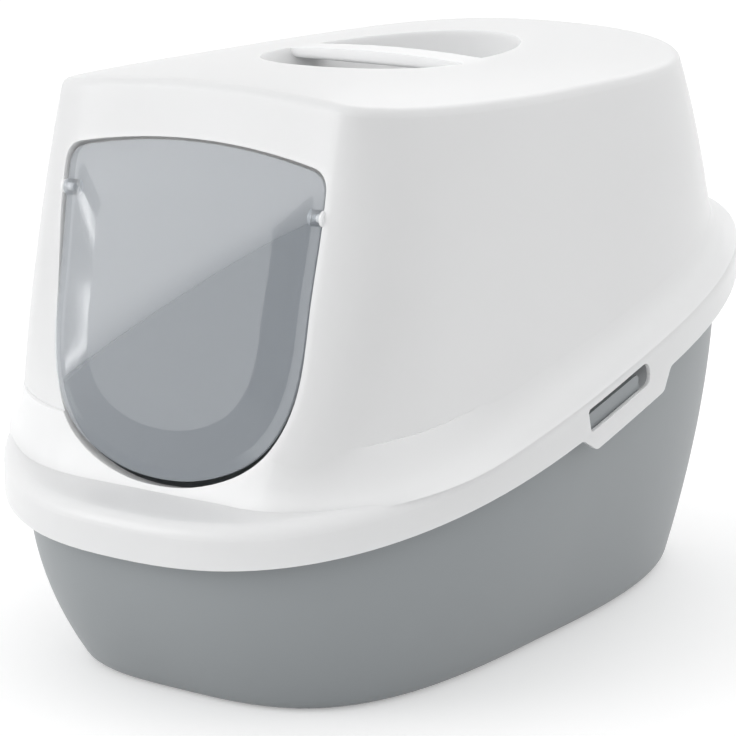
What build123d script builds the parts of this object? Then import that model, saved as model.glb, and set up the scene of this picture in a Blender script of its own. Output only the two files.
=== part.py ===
from build123d import *
from math import atan, cos, degrees, radians, sin, sqrt, pi
import os

# A covered litter box: an open tray, a hood that sits on its slanted rim, and a swinging door.
# Millimetres, Z up, front towards -Y, origin on the floor under the middle of the box.

# Overall size
LENGTH = 560.0
WIDTH = 390.0
HEIGHT = 385.0

# The slanted joint line between the tray and the hood: z = JOINT_MID + JOINT_SLOPE * y
JOINT_SLOPE = 0.25
JOINT_MID = 172.6
PLAN_MID = -20.0        # where the plan is widest
FRONT_POWER = 2.5       # how square the plan is at the front
REAR_POWER = 2.8        # and at the rear

# Walls
TRAY_WALL = 3.0
HOOD_WALL = 2.6
FIT = 0.4               # plain gap between the tray rim and the hood
OVERRUN = 5.0           # how far a cut runs past the face it opens

# Tray
FOOT_HALF_WIDTH = 131.0
FOOT_FRONT = -221.0
FOOT_REAR = 268.0
FOOT_FRONT_POWER = 3.3
FLARE_POWER = 1.8       # bulge of the tray wall
FOOT_ROUND = 14.0
FLOOR_ROUND = 4.0
TRAY_INSET = 14.0       # tray wall inside the outer face of the skirt
BEAD_DEPTH = 3.4        # rim bead of the tray
BEAD_OUT = 2.0
TRAY_SHARES = (0.2, 0.45, 0.75, 1.0)   # heights of the wall's sections, as shares of the way up

# Hood skirt, flange and wall
SKIRT_HEIGHT = 26.0
SKIRT_ROUND = 10.0
FOOT_FLARE = ((0.0, 14.0), (0.02, 9.0), (0.05, 4.0), (0.09, 1.2), (0.14, -0.4))  # share up, growth
FLARE_AT_FACE = 0.4
WALL_HALF_WIDTH = 181.0
WALL_FRONT = -312.0
WALL_REAR = 264.0
TOP_HALF_WIDTH = 150.0
TOP_FRONT = -249.0
TOP_REAR = 207.0
TOP_MID = 0.0
TOP_REAR_POWER = 3.3
WALL_BULGE = 2.5
CORNER_LOW = 75.0       # soft corner beside the doorway at the bottom of the wall
CORNER_HIGH = 13.0
CROWN = 12.0            # fall of the top from the middle to its sides
TOP_ROUND = 7.0

# Leaning front face
FACE_LEAN = 0.205
FACE_TOP_Y = -190.0

# Side clips
LOBE_FRONT, LOBE_REAR = -56.0, 54.0
LOBE_DROP = 13.0
LOBE_ROUND = 7.0
LOBE_SLOPE_FRONT, LOBE_SLOPE_REAR = 16.0, 9.0
SLOT_FRONT, SLOT_REAR = -49.0, 25.0
SLOT_LOW, SLOT_HIGH = 1.5, 17.0
SLOT_ROUND_FRONT, SLOT_ROUND_REAR = 2.5, 6.5
HOOK_FRONT, HOOK_REAR = -47.5, 16.0
HOOK_ROUND = 3.0
HOOK_LOW, HOOK_HIGH = -3.0, 11.5

# Door and doorway, measured down the front face from its top line
DOOR_TOP = -37.0
DOOR_SHOULDER = -46.0
DOOR_AXIS = -74.0
DOOR_LOW = -246.0
DOOR_HALF = 100.0
DOOR_RECESS = 1.0
DOOR_SHEET = 2.2
DOOR_GAP = 1.8
DOOR_GAP_LOW = 4.0
LIP_DEPTH = 9.0
PEG_R = 2.5
PEG_PLAY = 0.06
PEG_LENGTH = 5.4
KNUCKLE_R = 5.2
KNUCKLE_LENGTH = 8.0
COLLAR = 1.2
ROOT = 0.5              # how far a peg starts inside the wall
PANEL_EDGE = 7.0
PANEL_INSET = 31.0
PANEL_STEP = 5.0
SINK = 0.05             # overlap that joins the pan to the sheet

# Finger wells and the carrying bar in the top
WELL_FRONT, WELL_FRONT_HALF = -93.0, 72.0
WELL_REAR, WELL_REAR_HALF = 128.0, 68.0
BAR_FRONT, BAR_REAR = -9.0, 18.0
BAR_LOW = 376.0
WELL_FLOOR = 356.0
WELL_DRAFT = 16.0
WELL_ROUND = 8.0
BAR_ROUND = 3.0
VENT_HALF, VENT_FRONT, VENT_REAR = 58.0, -22.0, 42.0

# Filter pad on two rails under the wells
PAD_LENGTH, PAD_WIDTH, PAD_THICK = 150.0, 86.0, 6.0
PAD_MID = 10.0
RAIL_WALL = 2.2
RAIL_GAP = 0.5
RAIL_LEDGE = 6.0
PAD_ROUND = 4.0


def superellipse(half, front, rear, mid, front_power, rear_power, steps=24):
    """Closed plan outline: a superellipse with its own power at the front and at the rear."""
    points = []
    for i in range(steps):
        a = 2 * pi * i / steps
        c, s = cos(a), sin(a)
        power, reach = (rear_power, rear - mid) if s > 0 else (front_power, mid - front)
        x = half * (1 if c > 0 else -1) * abs(c) ** (2 / power)
        y = mid + reach * (1 if s > 0 else -1) * abs(s) ** (2 / power)
        points.append((x, y))
    return points


def slanted(height, slope):
    """Plane z = height + slope * y, with local Y running up the slope."""
    return Plane(origin=(0, 0, height), x_dir=(1, 0, 0), z_dir=(0, -slope, 1))


def on_slope(points, slope):
    """Plan points as local points of a slanted plane."""
    stretch = sqrt(1 + slope * slope)
    return [(x, y * stretch) for x, y in points]


def rim_plan(inset):
    """Plan of the rim, moved inwards by the inset."""
    return superellipse(WIDTH / 2 - inset, -LENGTH / 2 + inset, LENGTH / 2 - inset, PLAN_MID,
                        FRONT_POWER, REAR_POWER)


def tray_plan(t, inset):
    """Plan of the tray wall at a share t of the way up to the joint line."""
    g = 1 - (1 - t) ** FLARE_POWER
    top_half, top_end = WIDTH / 2 - TRAY_INSET, LENGTH / 2 - TRAY_INSET
    half = FOOT_HALF_WIDTH + (top_half - FOOT_HALF_WIDTH) * g
    front = FOOT_FRONT + (-top_end - FOOT_FRONT) * g
    rear = FOOT_REAR + (top_end - FOOT_REAR) * g
    power = FOOT_FRONT_POWER + (FRONT_POWER - FOOT_FRONT_POWER) * g
    return superellipse(half - inset, front + inset, rear - inset, PLAN_MID, power, REAR_POWER)


def face_y(height, slope):
    """Where the leaning front face crosses the plane z = height + slope * y."""
    return (FACE_TOP_Y - FACE_LEAN * (HEIGHT - height)) / (1 - FACE_LEAN * slope)


def wall_section(t, inset):
    """Height, slope, flat front corner and plan points of the hood wall, t from 0 low to 1 high."""
    low = JOINT_MID + SKIRT_HEIGHT - 3.0
    height = low + (HEIGHT + 8.0 - low) * t
    slope = JOINT_SLOPE * (1 - t)
    bulge = WALL_BULGE * 4 * t * (1 - t) - inset
    half = WALL_HALF_WIDTH + (TOP_HALF_WIDTH - WALL_HALF_WIDTH) * t + bulge
    front = WALL_FRONT + (TOP_FRONT - WALL_FRONT) * t
    rear = WALL_REAR + (TOP_REAR - WALL_REAR) * t + bulge
    mid = PLAN_MID + (TOP_MID - PLAN_MID) * t
    power = REAR_POWER + (TOP_REAR_POWER - REAR_POWER) * t
    face_inset = inset if inset > 0 else inset * FLARE_AT_FACE
    flat = face_y(height, slope) + face_inset * sqrt(1 + FACE_LEAN ** 2)
    radius = CORNER_HIGH + (CORNER_LOW - CORNER_HIGH) * (1 - t) ** 1.5 - inset * 0.8
    reach = mid - front

    def side_x(y):
        return half * (1 - ((mid - y) / reach) ** FRONT_POWER) ** (1 / FRONT_POWER)

    corner = side_x(flat)
    tangent_y = flat + radius
    start, end = (corner - radius, flat), (side_x(tangent_y), tangent_y)
    right = [start]
    for u in (0.33, 0.67):
        a, b, c = (1 - u) ** 2, 2 * u * (1 - u), u * u
        right.append((a * start[0] + b * corner + c * end[0], a * flat + b * flat + c * end[1]))
    right.append(end)
    for share in (0.35, 0.7):
        y = tangent_y + (mid - tangent_y) * share
        right.append((side_x(y), y))
    right.append((half, mid))
    for step in range(1, 6):
        a = radians(15 * step)
        right.append((half * cos(a) ** (2 / power), mid + (rear - mid) * sin(a) ** (2 / power)))
    left = [(-x, y) for x, y in reversed(right)]
    return height, slope, right + [(0, rear)] + left


def plan_face(plan, height, slope):
    """One closed smooth section on a slanted plane."""
    with BuildSketch(slanted(height, slope)) as section:
        with BuildLine():
            Spline(*on_slope(plan, slope), periodic=True)
        make_face()
    return section.sketch


def tray_face(t, inset):
    """Section of the tray wall at a share t of the way up to the joint line."""
    return plan_face(tray_plan(t, inset), JOINT_MID * t, JOINT_SLOPE * t)


def wall_face(t, inset):
    """Section of the hood wall: one closed curve that runs straight along the front."""
    height, slope, plan = wall_section(t, inset)
    flat_x, flat_y = plan[0]
    front = [(-flat_x / 2, flat_y), (0, flat_y), (flat_x / 2, flat_y)]
    return plan_face(plan + front, height, slope)


def above_crown(drop):
    """Everything above the crowned top, lowered by the drop."""
    top, side = HEIGHT - drop, HEIGHT - drop - CROWN
    edge = TOP_HALF_WIDTH
    with BuildPart() as block:
        with BuildSketch(Plane.XZ):
            with BuildLine():
                ThreePointArc((-edge, side), (0, top), (edge, side))
                Polyline((edge, side), (edge + 90, side - 16), (edge + 90, top + 60),
                         (-edge - 90, top + 60), (-edge - 90, side - 16), (-edge, side))
            make_face()
        extrude(amount=LENGTH, both=True)
    return block.part


def well_outline(shrink):
    """Outline of the two finger wells with the strip under the bar."""
    with BuildSketch() as section:
        with BuildLine():
            front_half, rear_half = WELL_FRONT_HALF - shrink, WELL_REAR_HALF - shrink
            EllipticalCenterArc((0, BAR_FRONT), front_half, BAR_FRONT - WELL_FRONT - shrink,
                                start_angle=180, arc_size=180)
            Line((front_half, BAR_FRONT), (rear_half, BAR_REAR))
            EllipticalCenterArc((0, BAR_REAR), rear_half, WELL_REAR - BAR_REAR - shrink,
                                start_angle=0, arc_size=180)
            Line((-rear_half, BAR_REAR), (-front_half, BAR_FRONT))
        make_face()
    return section.sketch


def well_block(grow):
    """The space of the wells, grown by the wall for the skin round it."""
    low, high = WELL_FLOOR - grow, HEIGHT + 4
    deep = WELL_DRAFT * (HEIGHT - low) / (HEIGHT - WELL_FLOOR)
    with BuildPart() as block:
        loft([Pos(0, 0, high) * well_outline(-grow - 2), Pos(0, 0, low) * well_outline(deep - grow)])
        fillet(block.edges().group_by(Axis.Z)[0], WELL_ROUND + grow)
    return block.part


FACE = Plane(origin=(0, FACE_TOP_Y, HEIGHT), x_dir=(1, 0, 0), z_dir=(0, -1, FACE_LEAN))
HINGE_DEPTH = DOOR_RECESS + DOOR_SHEET / 2
HINGE = FACE * Pos(0, DOOR_AXIS, -HINGE_DEPTH)


def door_face(grow, drop):
    """Door outline in the front face, grown all round and dropped at the bottom."""
    half, shoulder = DOOR_HALF + grow, DOOR_SHOULDER + grow
    corner, upper = half - 13, shoulder - 16
    start, low = min(DOOR_AXIS, upper - 8), DOOR_LOW - drop
    widen, stretch = half / DOOR_HALF, (low - start) / (DOOR_LOW - DOOR_AXIS)
    side = [(x * widen, start + (s - DOOR_AXIS) * stretch)
            for x, s in ((98, -125), (93, -188), (74, -221), (40, -240), (0, DOOR_LOW))]
    with BuildSketch() as section:
        with BuildLine():
            ThreePointArc((-corner, shoulder), (0, DOOR_TOP + grow), (corner, shoulder))
            for hand in (1, -1):
                Spline((hand * corner, shoulder), (hand * half, upper),
                       tangents=((hand, -0.17), (0, -1)))
                Line((hand * half, upper), (hand * half, start))
                Spline((hand * half, start), *[(hand * x, s) for x, s in side],
                       tangents=((0, -1), (-hand, 0)))
        make_face()
    return section.sketch


def face_prism(sketch, high, low):
    """A sketch in the front face drawn out between two depths, outwards positive."""
    return extrude(FACE * Pos(0, 0, low) * sketch, amount=high - low, dir=FACE.z_dir,
                   mode=Mode.PRIVATE)


def along_x(x_from, x_to, radius, mid):
    """Round bar along X about a middle point."""
    bar = Cylinder(radius, abs(x_to - x_from), rotation=(0, 90, 0), mode=Mode.PRIVATE)
    return Pos((x_from + x_to) / 2, mid.Y, mid.Z) * bar


# The tray: a flared basin with a slanted rim
RIM_TOP = SKIRT_HEIGHT - HOOD_WALL - FIT
with BuildPart() as tray_shell:
    loft([tray_face(t, 0) for t in (0.0, *TRAY_SHARES)])
    fillet(tray_shell.edges().group_by(Axis.Z)[0], FOOT_ROUND)
    # the upright band that goes up inside the skirt
    extrude(plan_face(rim_plan(TRAY_INSET), JOINT_MID, JOINT_SLOPE), amount=RIM_TOP, dir=(0, 0, 1))
    # the bead round the top of the rim
    extrude(plan_face(rim_plan(TRAY_INSET - BEAD_OUT), JOINT_MID + RIM_TOP - BEAD_DEPTH, JOINT_SLOPE),
            amount=BEAD_DEPTH, dir=(0, 0, 1))
    # the space inside
    floor = plan_face(tray_plan(0.0, TRAY_WALL + FLOOR_ROUND), TRAY_WALL, 0)
    loft([floor] + [tray_face(t, TRAY_WALL) for t in TRAY_SHARES], mode=Mode.SUBTRACT)
    extrude(plan_face(rim_plan(TRAY_INSET + TRAY_WALL), JOINT_MID, JOINT_SLOPE),
            amount=RIM_TOP + OVERRUN, dir=(0, 0, 1), mode=Mode.SUBTRACT)

# The hook behind each side clip slot
hook_out = WIDTH / 2 - HOOD_WALL - 3 * FIT
with BuildPart() as hook_pair:
    with BuildSketch(Plane.YZ):
        with BuildLine():
            ends = (HOOK_FRONT, HOOK_REAR)
            low = [(y, JOINT_MID + JOINT_SLOPE * y + HOOK_LOW) for y in ends]
            high = [(y, JOINT_MID + JOINT_SLOPE * y + HOOK_HIGH) for y in reversed(ends)]
            Polyline(*low, *high, close=True)
        make_face()
    extrude(amount=hook_out, both=True)
    Box(2 * (WIDTH / 2 - TRAY_INSET - TRAY_WALL / 2), LENGTH, 3 * HEIGHT, mode=Mode.SUBTRACT)
    fillet(hook_pair.edges().filter_by(Axis.X), HOOK_ROUND)
with BuildPart() as base_tray:
    add(tray_shell.part)
    add(hook_pair.part)
base_tray.part.label = "base_tray"

# The outside of the hood wall
with BuildPart() as wall_outside:
    loft([wall_face(t, 0) for t in (0.0, 0.5, 1.0)])
    add(above_crown(0), mode=Mode.SUBTRACT)
    fillet(wall_outside.faces().sort_by(Axis.Z)[-1].edges(), TOP_ROUND)

# The soft foot of the wall on the flange
with BuildPart() as foot_flare:
    loft([wall_face(t, -growth) for t, growth in FOOT_FLARE])

# The space under the hood
with BuildPart() as wall_inside:
    loft([wall_face(t, HOOD_WALL) for t in (-0.08, 0.5, 1.0)])
    add(above_crown(HOOD_WALL), mode=Mode.SUBTRACT)
    fillet(wall_inside.faces().sort_by(Axis.Z)[-1].edges(), TOP_ROUND - HOOD_WALL)
    add(well_block(HOOD_WALL), mode=Mode.SUBTRACT)

# The space inside the skirt
with BuildPart() as skirt_inside:
    extrude(plan_face(rim_plan(HOOD_WALL), JOINT_MID - 2 * LOBE_DROP, JOINT_SLOPE),
            amount=2 * LOBE_DROP + SKIRT_HEIGHT - HOOD_WALL, dir=(0, 0, 1))
    fillet(skirt_inside.edges().sort_by(Axis.Z)[-1], SKIRT_ROUND - HOOD_WALL)

# The ring that lines the doorway
lip_block = face_prism(door_face(DOOR_GAP + HOOD_WALL, DOOR_GAP_LOW + HOOD_WALL),
                       OVERRUN, -LIP_DEPTH)
doorway = face_prism(door_face(DOOR_GAP, DOOR_GAP_LOW), 2 * OVERRUN, -LIP_DEPTH - OVERRUN)
with BuildPart() as lip:
    add(lip_block)
    add(wall_outside.part, mode=Mode.INTERSECT)

# The hood: skirt and flange, wall and top, doorway, wells, bar and clip slots
peg_mid = HINGE.position
with BuildPart() as hood:
    extrude(plan_face(rim_plan(0), JOINT_MID - LOBE_DROP, JOINT_SLOPE),
            amount=LOBE_DROP + SKIRT_HEIGHT, dir=(0, 0, 1))
    fillet(hood.edges().sort_by(Axis.Z)[-1], SKIRT_ROUND)
    # below the joint line only the two lobes stay
    with BuildSketch(Plane.YZ):
        with BuildLine():
            marks = ((-LENGTH, 0), (LOBE_FRONT, 0), (LOBE_FRONT + LOBE_SLOPE_FRONT, LOBE_DROP),
                     (LOBE_REAR - LOBE_SLOPE_REAR, LOBE_DROP), (LOBE_REAR, 0), (LENGTH, 0))
            line = [(y, JOINT_MID + JOINT_SLOPE * y - down) for y, down in marks]
            FilletPolyline(*line, (LENGTH, -HEIGHT), (-LENGTH, -HEIGHT), radius=LOBE_ROUND,
                           close=True)
        make_face()
    extrude(amount=WIDTH, both=True, mode=Mode.SUBTRACT)
    add(wall_outside.part)
    add(foot_flare.part)
    add(skirt_inside.part, mode=Mode.SUBTRACT)
    add(wall_inside.part, mode=Mode.SUBTRACT)
    add(well_block(0), mode=Mode.SUBTRACT)
    add(lip.part)
    add(doorway, mode=Mode.SUBTRACT)
    # the carrying bar across the wells
    with BuildPart(mode=Mode.PRIVATE) as bar:
        with BuildSketch(Plane.YZ):
            bar_high = HEIGHT + OVERRUN
            with Locations(((BAR_FRONT + BAR_REAR) / 2, (BAR_LOW + bar_high) / 2)):
                RectangleRounded(BAR_REAR - BAR_FRONT, bar_high - BAR_LOW, BAR_ROUND)
        extrude(amount=WELL_FRONT_HALF + 1, both=True)
        add(above_crown(0), mode=Mode.SUBTRACT)
    add(bar.part)
    # the vent slot in the well floor
    with Locations((0, (VENT_FRONT + VENT_REAR) / 2, WELL_FLOOR)):
        Box(2 * VENT_HALF, VENT_REAR - VENT_FRONT, 4 * HOOD_WALL, mode=Mode.SUBTRACT)
    # the rails that hold the filter pad
    pad_top = WELL_FLOOR - HOOD_WALL - RAIL_GAP
    for end in (-1, 1):
        rail_y = PAD_MID + end * (PAD_WIDTH / 2 + RAIL_GAP + RAIL_WALL / 2)
        with Locations((0, rail_y, pad_top - (PAD_THICK - RAIL_GAP) / 2)):
            Box(PAD_LENGTH, RAIL_WALL, PAD_THICK + RAIL_GAP + 2 * RAIL_WALL)
        with Locations((0, rail_y - end * RAIL_LEDGE / 2,
                        pad_top - PAD_THICK - RAIL_GAP - RAIL_WALL / 2)):
            Box(PAD_LENGTH, RAIL_LEDGE + RAIL_WALL, RAIL_WALL)
    # the slot in each side clip
    slot_mid = (SLOT_FRONT + SLOT_REAR) / 2
    slot_rise = JOINT_MID + JOINT_SLOPE * slot_mid + (SLOT_LOW + SLOT_HIGH) / 2
    with BuildSketch(Plane.YZ):
        with Locations(Location((slot_mid, slot_rise), degrees(atan(JOINT_SLOPE)))):
            slot_long = (SLOT_REAR - SLOT_FRONT) * sqrt(1 + JOINT_SLOPE ** 2)
            Rectangle(slot_long, SLOT_HIGH - SLOT_LOW)
        fillet(vertices().sort_by(Axis.Y)[2:], SLOT_ROUND_REAR)
        fillet(vertices().sort_by(Axis.Y)[:2], SLOT_ROUND_FRONT)
    slots = extrude(amount=WIDTH, both=True, mode=Mode.PRIVATE)
    middle = Box(WIDTH - 4 * HOOD_WALL, LENGTH, 3 * HEIGHT, mode=Mode.PRIVATE)
    add(slots - middle, mode=Mode.SUBTRACT)
    # the pegs the door swings on
    wall_x = DOOR_HALF + DOOR_GAP
    root_x = wall_x + ROOT
    for hand in (1, -1):
        add(along_x(hand * root_x, hand * (wall_x - COLLAR), KNUCKLE_R, peg_mid))
        add(along_x(hand * root_x, hand * (wall_x - PEG_LENGTH), PEG_R, peg_mid))
hood.part.label = "hood"

# The see-through door: a sheet with a stepped panel and a knuckle at each end of its axis
sheet = face_prism(door_face(0, 0), -DOOR_RECESS, -DOOR_RECESS - DOOR_SHEET)


def pan(depth):
    """A shallow sloped pan on the door: its foot near the edge, its flat middle lifted."""
    foot = door_face(-PANEL_EDGE, -PANEL_EDGE)
    middle = door_face(-PANEL_INSET, -PANEL_INSET)
    return loft([FACE * Pos(0, 0, -depth) * foot, FACE * Pos(0, 0, PANEL_STEP - depth) * middle],
                mode=Mode.PRIVATE)


raised, hollow = pan(DOOR_RECESS + SINK), pan(DOOR_RECESS + DOOR_SHEET + SINK)
with BuildPart() as door_flap:
    add(sheet)
    add(raised)
    add(hollow, mode=Mode.SUBTRACT)
    for hand in (1, -1):
        add(along_x(hand * DOOR_HALF, hand * (DOOR_HALF - KNUCKLE_LENGTH), KNUCKLE_R, peg_mid))
        add(along_x(hand * (DOOR_HALF + 2), hand * (DOOR_HALF - KNUCKLE_LENGTH + 2),
                    PEG_R + PEG_PLAY, peg_mid), mode=Mode.SUBTRACT)
door_flap.part.label = "door_flap"

# The filter pad that lies on the rails
with BuildPart() as filter_pad:
    with Locations((0, PAD_MID, pad_top - PAD_THICK / 2)):
        Box(PAD_LENGTH, PAD_WIDTH, PAD_THICK)
    fillet(filter_pad.edges().filter_by(Axis.Z), PAD_ROUND)
filter_pad.part.label = "filter_pad"

os.makedirs("parts", exist_ok=True)
export_step(base_tray.part, "parts/base_tray.step")
export_step(hood.part, "parts/hood.step")
export_step(door_flap.part, "parts/door_flap.step")
export_step(filter_pad.part, "parts/filter_pad.step")
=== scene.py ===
"""Looks of the covered litter box: grey tray, white hood, see-through door and a filter pad whose
black is painted shade.
"""

import math

import bpy
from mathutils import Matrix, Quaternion, Vector

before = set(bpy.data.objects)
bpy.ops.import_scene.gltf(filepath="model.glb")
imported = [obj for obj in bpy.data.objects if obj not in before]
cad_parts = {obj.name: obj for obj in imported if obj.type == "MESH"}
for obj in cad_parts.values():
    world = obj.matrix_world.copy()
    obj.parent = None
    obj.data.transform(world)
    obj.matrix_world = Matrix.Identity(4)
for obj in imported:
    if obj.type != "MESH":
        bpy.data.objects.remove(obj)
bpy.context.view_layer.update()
scene = bpy.context.scene

# Tray: an open basin that holds the litter.
# Mid-grey plastic with a satin finish, injection moulded in one piece.
# It stands on the floor and the hood sits over its slanted rim.
TRAY_GREY = (0.29, 0.31, 0.322)
TRAY_ROUGHNESS = 0.42
PLASTIC_IOR = 1.5
GRAIN_SCALE = 900.0
GRAIN_STRENGTH = 0.03
GRAIN_DEPTH = 0.0003


def moulded_grain():
    """Very fine noise on Object coordinates, put out as a bumped Normal."""
    group = bpy.data.node_groups.new("moulded_grain", "ShaderNodeTree")
    for name in ("Scale", "Strength"):
        group.interface.new_socket(name=name, in_out="INPUT", socket_type="NodeSocketFloat")
    group.interface.new_socket(name="Normal", in_out="OUTPUT", socket_type="NodeSocketVector")
    nodes, links = group.nodes, group.links
    given, result = nodes.new("NodeGroupInput"), nodes.new("NodeGroupOutput")
    place = nodes.new("ShaderNodeTexCoord")
    noise = nodes.new("ShaderNodeTexNoise")
    bump = nodes.new("ShaderNodeBump")
    bump.inputs["Distance"].default_value = GRAIN_DEPTH
    links.new(place.outputs["Object"], noise.inputs["Vector"])
    links.new(given.outputs["Scale"], noise.inputs["Scale"])
    links.new(given.outputs["Strength"], bump.inputs["Strength"])
    links.new(noise.outputs["Fac"], bump.inputs["Height"])
    links.new(bump.outputs["Normal"], result.inputs["Normal"])
    return group


GRAIN = moulded_grain()


def plastic(name, colour, roughness):
    """Moulded plastic: an even colour with the fine grain in its gloss."""
    made = bpy.data.materials.new(name)
    made.use_nodes = True
    shader = made.node_tree.nodes["Principled BSDF"]
    shader.inputs["Base Color"].default_value = (*colour, 1.0)
    shader.inputs["Roughness"].default_value = roughness
    shader.inputs["IOR"].default_value = PLASTIC_IOR
    grain = made.node_tree.nodes.new("ShaderNodeGroup")
    grain.node_tree = GRAIN
    grain.inputs["Scale"].default_value = GRAIN_SCALE
    grain.inputs["Strength"].default_value = GRAIN_STRENGTH
    made.node_tree.links.new(grain.outputs["Normal"], shader.inputs["Normal"])
    return made


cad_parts["base_tray"].material_slots[0].material = plastic("tray_grey", TRAY_GREY, TRAY_ROUGHNESS)

# Hood: the cover with its doorway, carrying bar and side clips.
# White plastic, moulded in one piece, glossy enough to show soft highlights on its round edges.
# Its wall is thin, so some light passes through it to the inside.
HOOD_WHITE = (0.9, 0.905, 0.91)
HOOD_ROUGHNESS = 0.3
HOOD_GLOSS = 0.25
GLOSS_ROUGHNESS = 0.12
LIGHT_SHARE = 0.45
LIGHT_DEPTH = 0.02
hood_look = plastic("hood_white", HOOD_WHITE, HOOD_ROUGHNESS)
hood_shader = hood_look.node_tree.nodes["Principled BSDF"]
hood_shader.inputs["Coat Weight"].default_value = HOOD_GLOSS
hood_shader.inputs["Coat Roughness"].default_value = GLOSS_ROUGHNESS
hood_shader.inputs["Subsurface Weight"].default_value = LIGHT_SHARE
hood_shader.inputs["Subsurface Radius"].default_value = (1.0, 1.0, 1.0)
hood_shader.inputs["Subsurface Scale"].default_value = LIGHT_DEPTH
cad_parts["hood"].material_slots[0].material = hood_look

# Door: a clear sheet with a faint smoky tint and a stepped pan, moulded in one piece.
# It hangs on two pegs in the doorway. Most light goes straight through it, and its
# skin still mirrors the room, more so at its edges.
DOOR_TINT = (0.66, 0.72, 0.79)
DOOR_HAZE = 0.2
DOOR_ROUGHNESS = 0.06
SKIN_ROUGHNESS = 0.05
SKIN_IOR = 1.45
door_look = bpy.data.materials.new("door_clear")
door_look.use_nodes = True
door_nodes, door_links = door_look.node_tree.nodes, door_look.node_tree.links
door_shader = door_nodes["Principled BSDF"]
door_shader.inputs["Base Color"].default_value = (*DOOR_TINT, 1.0)
door_shader.inputs["Roughness"].default_value = DOOR_ROUGHNESS
door_shader.inputs["Alpha"].default_value = DOOR_HAZE
skin = door_nodes.new("ShaderNodeBsdfGlossy")
skin.inputs["Roughness"].default_value = SKIN_ROUGHNESS
mirror_share = door_nodes.new("ShaderNodeFresnel")
mirror_share.inputs["IOR"].default_value = SKIN_IOR
# only the outer faces mirror, because light inside the sheet would mirror far too much
faces_out = door_nodes.new("ShaderNodeNewGeometry")
outer_only = door_nodes.new("ShaderNodeMapRange")
outer_only.inputs["To Min"].default_value = 1.0
outer_only.inputs["To Max"].default_value = 0.0
outer_share = door_nodes.new("ShaderNodeMath")
outer_share.operation = "MULTIPLY"
both = door_nodes.new("ShaderNodeMixShader")
door_links.new(faces_out.outputs["Backfacing"], outer_only.inputs["Value"])
door_links.new(mirror_share.outputs["Fac"], outer_share.inputs[0])
door_links.new(outer_only.outputs["Result"], outer_share.inputs[1])
door_links.new(outer_share.outputs[0], both.inputs["Fac"])
door_links.new(door_shader.outputs["BSDF"], both.inputs[1])
door_links.new(skin.outputs["BSDF"], both.inputs[2])
door_links.new(both.outputs["Shader"], door_nodes["Material Output"].inputs["Surface"])
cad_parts["door_flap"].material_slots[0].material = door_look

# Filter pad: a black pad with an open-foam surface, lying loose on two rails under the finger
# wells.
# Its black is painted shade: it darkens the opening below the carrying bar, where the shadow is
# deep.
PAD_SHADE_BLACK = (0.02, 0.02, 0.022)
PAD_ROUGHNESS = 0.9
PORE_SCALE = 500.0
PORE_STRENGTH = 0.6
PORE_DEPTH = 0.001
pad_look = bpy.data.materials.new("filter_foam")
pad_look.use_nodes = True
pad_nodes, pad_links = pad_look.node_tree.nodes, pad_look.node_tree.links
pad_shader = pad_nodes["Principled BSDF"]
pad_shader.inputs["Base Color"].default_value = (*PAD_SHADE_BLACK, 1.0)
pad_shader.inputs["Roughness"].default_value = PAD_ROUGHNESS
pad_place = pad_nodes.new("ShaderNodeTexCoord")
pores = pad_nodes.new("ShaderNodeTexVoronoi")
pores.inputs["Scale"].default_value = PORE_SCALE
pad_bump = pad_nodes.new("ShaderNodeBump")
pad_bump.inputs["Strength"].default_value = PORE_STRENGTH
pad_bump.inputs["Distance"].default_value = PORE_DEPTH
pad_links.new(pad_place.outputs["Object"], pores.inputs["Vector"])
pad_links.new(pores.outputs["Distance"], pad_bump.inputs["Height"])
pad_links.new(pad_bump.outputs["Normal"], pad_shader.inputs["Normal"])
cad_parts["filter_pad"].material_slots[0].material = pad_look

# Floor: a plain pale plane that keeps the shadow and reads as white to the camera.
# It is part of the studio and not of the litter box, and lies a hair below its foot.
FLOOR_HALF = 6.0
FLOOR_DROP = -0.0004
FLOOR_LIFT = 0.33
FLOOR_PALE = (0.8, 0.8, 0.8)
floor_mesh = bpy.data.meshes.new("floor")
signs = ((-1, -1), (1, -1), (1, 1), (-1, 1))
corners = [(x * FLOOR_HALF, y * FLOOR_HALF, FLOOR_DROP) for x, y in signs]
floor_mesh.from_pydata(corners, [], [(0, 1, 2, 3)])
floor = bpy.data.objects.new("floor", floor_mesh)
scene.collection.objects.link(floor)
floor_look = bpy.data.materials.new("floor_white")
floor_look.use_nodes = True
floor_nodes, floor_links = floor_look.node_tree.nodes, floor_look.node_tree.links
floor_shader = floor_nodes["Principled BSDF"]
floor_shader.inputs["Base Color"].default_value = (*FLOOR_PALE, 1.0)
floor_shader.inputs["Roughness"].default_value = 1.0
floor_shader.inputs["Specular IOR Level"].default_value = 0.0
floor_shader.inputs["Emission Color"].default_value = (1.0, 1.0, 1.0, 1.0)


def seen_directly(tree):
    """One where a ray comes from the camera or through gloss or glass, else nothing."""
    path = tree.nodes.new("ShaderNodeLightPath")
    total = path.outputs["Is Camera Ray"]
    for kind in ("Is Glossy Ray", "Is Transmission Ray"):
        step = tree.nodes.new("ShaderNodeMath")
        step.operation = "MAXIMUM"
        tree.links.new(total, step.inputs[0])
        tree.links.new(path.outputs[kind], step.inputs[1])
        total = step.outputs[0]
    return total


lift = floor_nodes.new("ShaderNodeMath")
lift.operation = "MULTIPLY"
lift.inputs[1].default_value = FLOOR_LIFT
floor_links.new(seen_directly(floor_look.node_tree), lift.inputs[0])
floor_links.new(lift.outputs[0], floor_shader.inputs["Emission Strength"])
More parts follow.
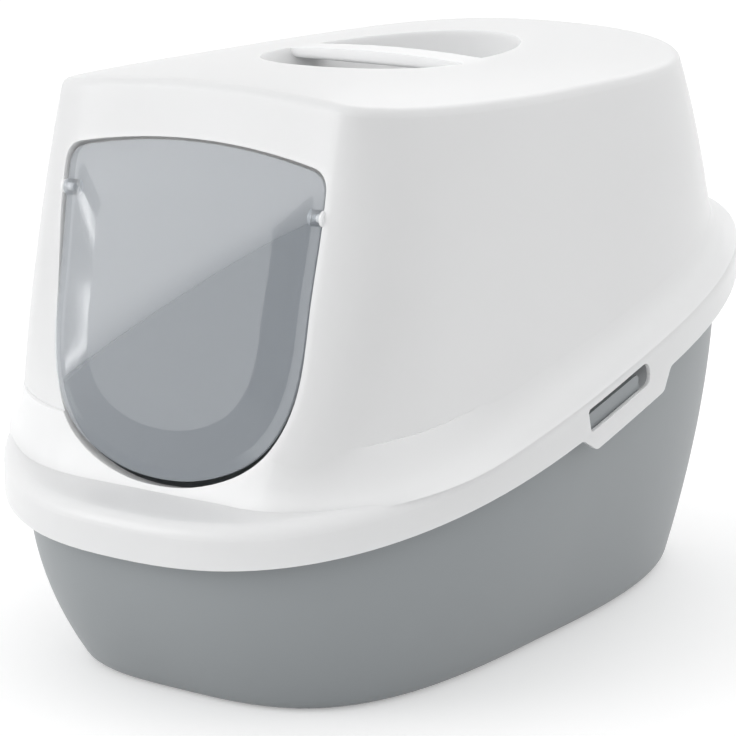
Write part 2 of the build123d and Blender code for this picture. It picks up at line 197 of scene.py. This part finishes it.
# from below the floor is clear, so that the underside can be looked at
side_seen = floor_nodes.new("ShaderNodeNewGeometry")
clear = floor_nodes.new("ShaderNodeBsdfTransparent")
floor_mix = floor_nodes.new("ShaderNodeMixShader")
floor_links.new(side_seen.outputs["Backfacing"], floor_mix.inputs["Fac"])
floor_links.new(floor_shader.outputs["BSDF"], floor_mix.inputs[1])
floor_links.new(clear.outputs["BSDF"], floor_mix.inputs[2])
floor_links.new(floor_mix.outputs["Shader"], floor_nodes["Material Output"].inputs["Surface"])
floor_mesh.materials.append(floor_look)

# World: white where it is seen, a level soft light elsewhere.
WORLD_LIGHT = 0.94
world = bpy.data.worlds.new("studio")
scene.world = world
world.use_nodes = True
world_tree = world.node_tree
level = world_tree.nodes.new("ShaderNodeMapRange")
level.inputs["To Min"].default_value = WORLD_LIGHT
level.inputs["To Max"].default_value = 1.0
world_tree.links.new(seen_directly(world_tree), level.inputs["Value"])
world_tree.nodes["Background"].inputs["Color"].default_value = (1.0, 1.0, 1.0, 1.0)
world_tree.links.new(level.outputs["Result"], world_tree.nodes["Background"].inputs["Strength"])

# Lamps: a large softbox low to the front left, a weak one behind, and a narrow upright strip
# whose mirror image draws the bright line down the left side of the door's pan.
MIDDLE = (0.0, 0.0, 0.2)
KEY_PLACE, KEY_WIDTH, KEY_POWER = (-1.5, -2.1, 1.1), 1.6, 14.0
BACK_PLACE, BACK_WIDTH, BACK_POWER = (-0.6, 1.8, 1.6), 1.4, 3.0
STRIP_PLACE, STRIP_AIM = (-1.872, -1.11, 0.309), (-0.081, -0.2216, 0.2384)
STRIP_WIDTH, STRIP_HEIGHT, STRIP_POWER, STRIP_ROLL = 0.02, 1.2, 0.6, 10.4


def softbox(name, place, aim, width, height, power, roll=0.0):
    """A rectangular area lamp that points at a place, rolled about its own beam."""
    lamp = bpy.data.lights.new(name, "AREA")
    lamp.shape = "RECTANGLE"
    lamp.size, lamp.size_y = width, height
    lamp.energy = power
    holder = bpy.data.objects.new(name, lamp)
    holder.location = place
    turn = (Vector(aim) - Vector(place)).to_track_quat("-Z", "Y")
    holder.rotation_euler = (turn @ Quaternion((0.0, 0.0, 1.0), math.radians(roll))).to_euler()
    scene.collection.objects.link(holder)


softbox("key_lamp", KEY_PLACE, MIDDLE, KEY_WIDTH, KEY_WIDTH, KEY_POWER)
softbox("back_lamp", BACK_PLACE, MIDDLE, BACK_WIDTH, BACK_WIDTH, BACK_POWER)
softbox("strip_lamp", STRIP_PLACE, STRIP_AIM, STRIP_WIDTH, STRIP_HEIGHT, STRIP_POWER, STRIP_ROLL)

# Camera: the photo's viewing angle and framing, from a fit to its outlines.
AZIMUTH, ELEVATION = math.radians(35.46), math.radians(13.09)
DISTANCE = 2.07621
AIM = Vector((-0.00269, -0.00481, 0.17018))
LENS, SENSOR = 150.0, 36.0
SHIFT_X, SHIFT_Y = -0.0098, -0.0016
camera_data = bpy.data.cameras.new("camera")
camera_data.sensor_width = SENSOR
camera_data.lens = LENS
camera_data.shift_x = SHIFT_X
camera_data.shift_y = SHIFT_Y
camera = bpy.data.objects.new("camera", camera_data)
back = Vector((math.sin(AZIMUTH) * math.cos(ELEVATION), -math.cos(AZIMUTH) * math.cos(ELEVATION),
               math.sin(ELEVATION)))
camera.location = AIM + DISTANCE * back
camera.rotation_euler = (-back).to_track_quat("-Z", "Y").to_euler()
scene.collection.objects.link(camera)
scene.camera = camera
scene.view_settings.view_transform = "Standard"
